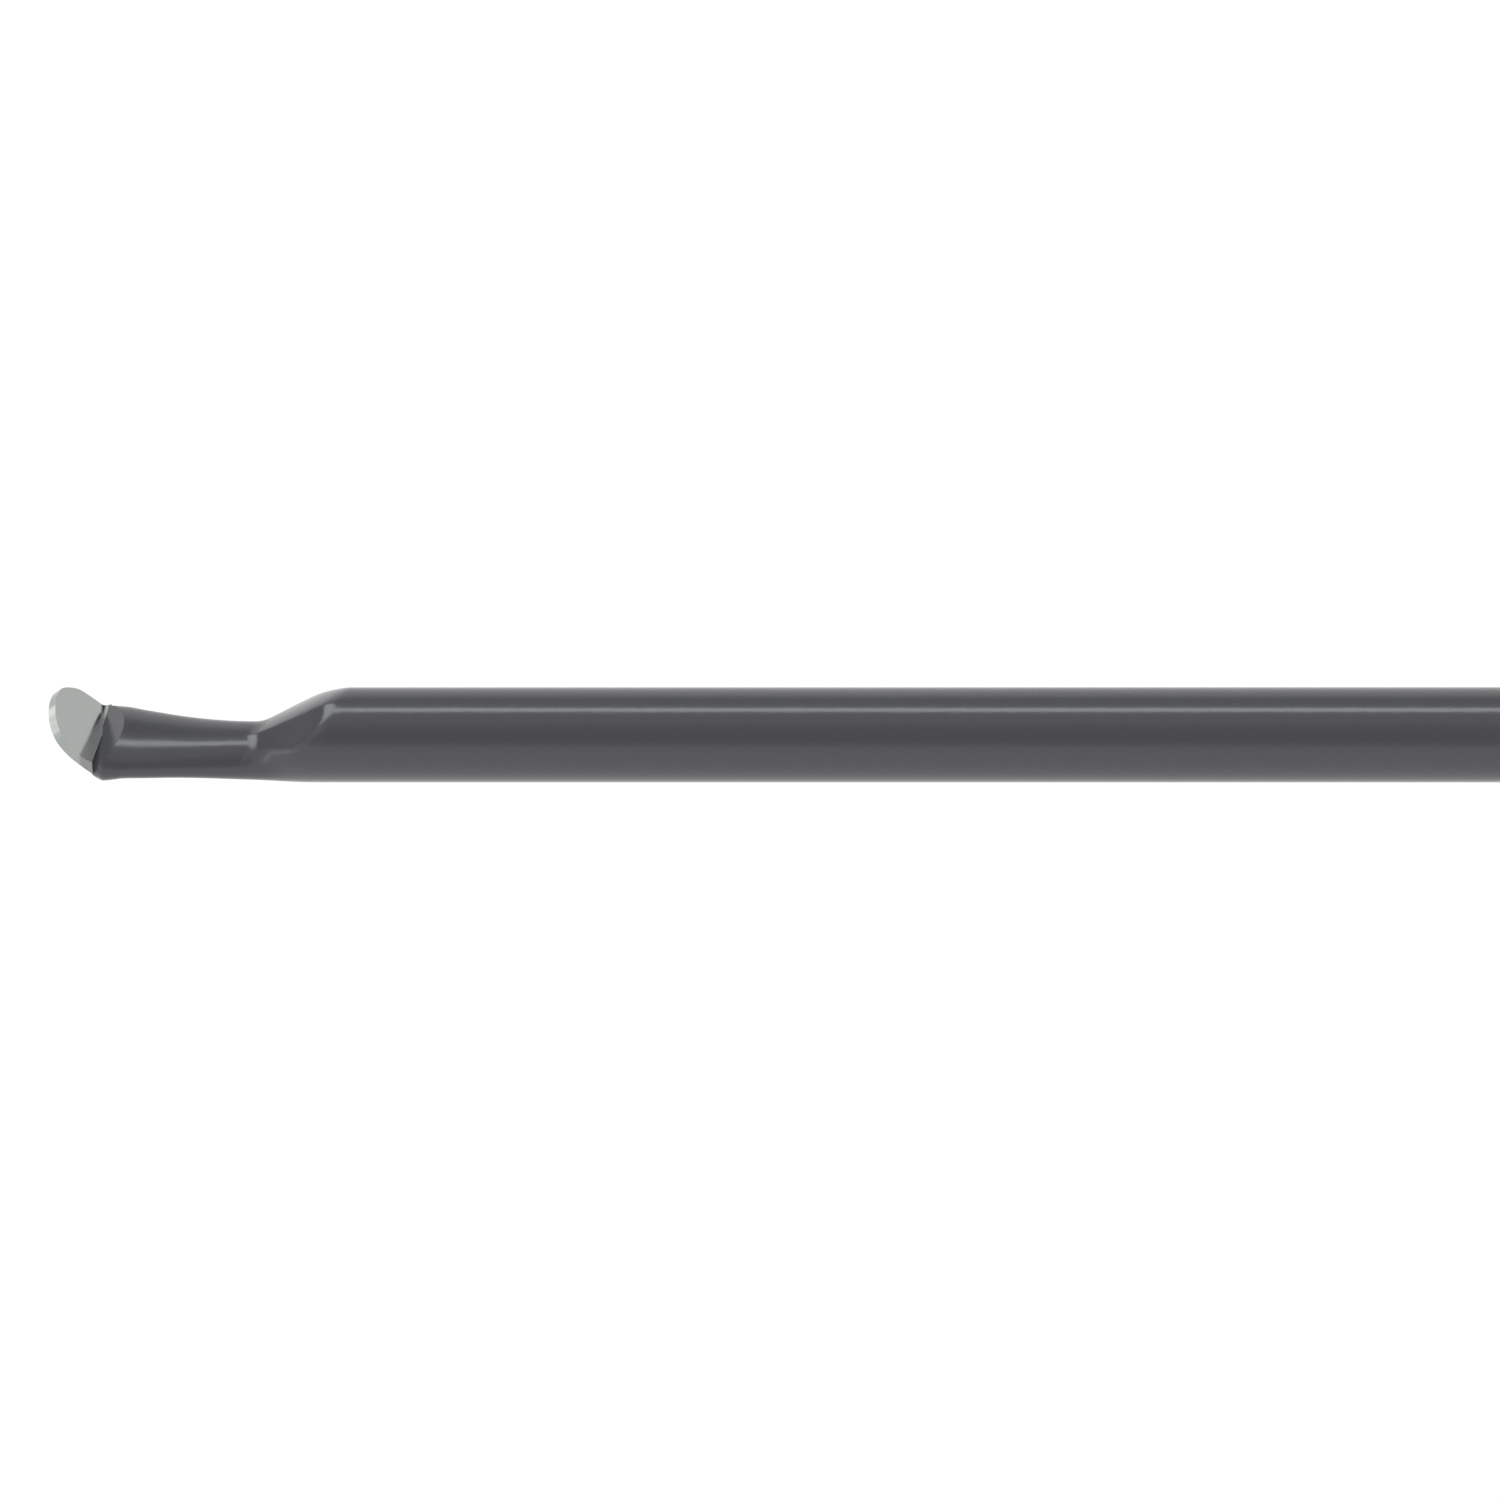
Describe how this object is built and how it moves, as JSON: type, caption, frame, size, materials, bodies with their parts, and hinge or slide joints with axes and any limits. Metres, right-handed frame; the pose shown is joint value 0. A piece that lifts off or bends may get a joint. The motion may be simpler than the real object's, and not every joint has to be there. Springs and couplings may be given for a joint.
{
  "type": "insulated spatula electrode",
  "caption": "Long thin insulated shaft with an upturned steel spatula blade at the front, a grooved handle behind and a round connector pin standing up from it.",
  "frame": {"origin": "on the shaft's axis at the front face of the handle's nose nut, where the free length of the shaft starts", "axes": "+X back along the shaft into the handle, the blade is at -X; +Z the way the blade curves up and the connector post stands; Y across the blade"},
  "size_m": [0.4199, 0.013, 0.0326],
  "materials": {
    "steel": "fine satin",
    "insulation": "semi-gloss dark grey",
    "handle": "satin black",
    "nickel": "nickel plated brass",
    "seal": "matt"
  },
  "bodies": {
    "root": {"spatula_blade": "steel", "tip_plug": "steel", "shaft_tube": "steel", "insulation_sleeve": "insulation", "tube_end_plug": "insulation", "nose_nut": "handle", "nose_seal": "seal", "gland_washer": "steel", "handle_body": "handle", "contact_block": "nickel", "grub_screws": "steel", "connector_post": "nickel", "post_seal": "seal", "post_collar": "handle", "rear_spacer": "handle", "rear_cap": "handle", "rear_seal": "seal"}
  },
  "joints": []
}
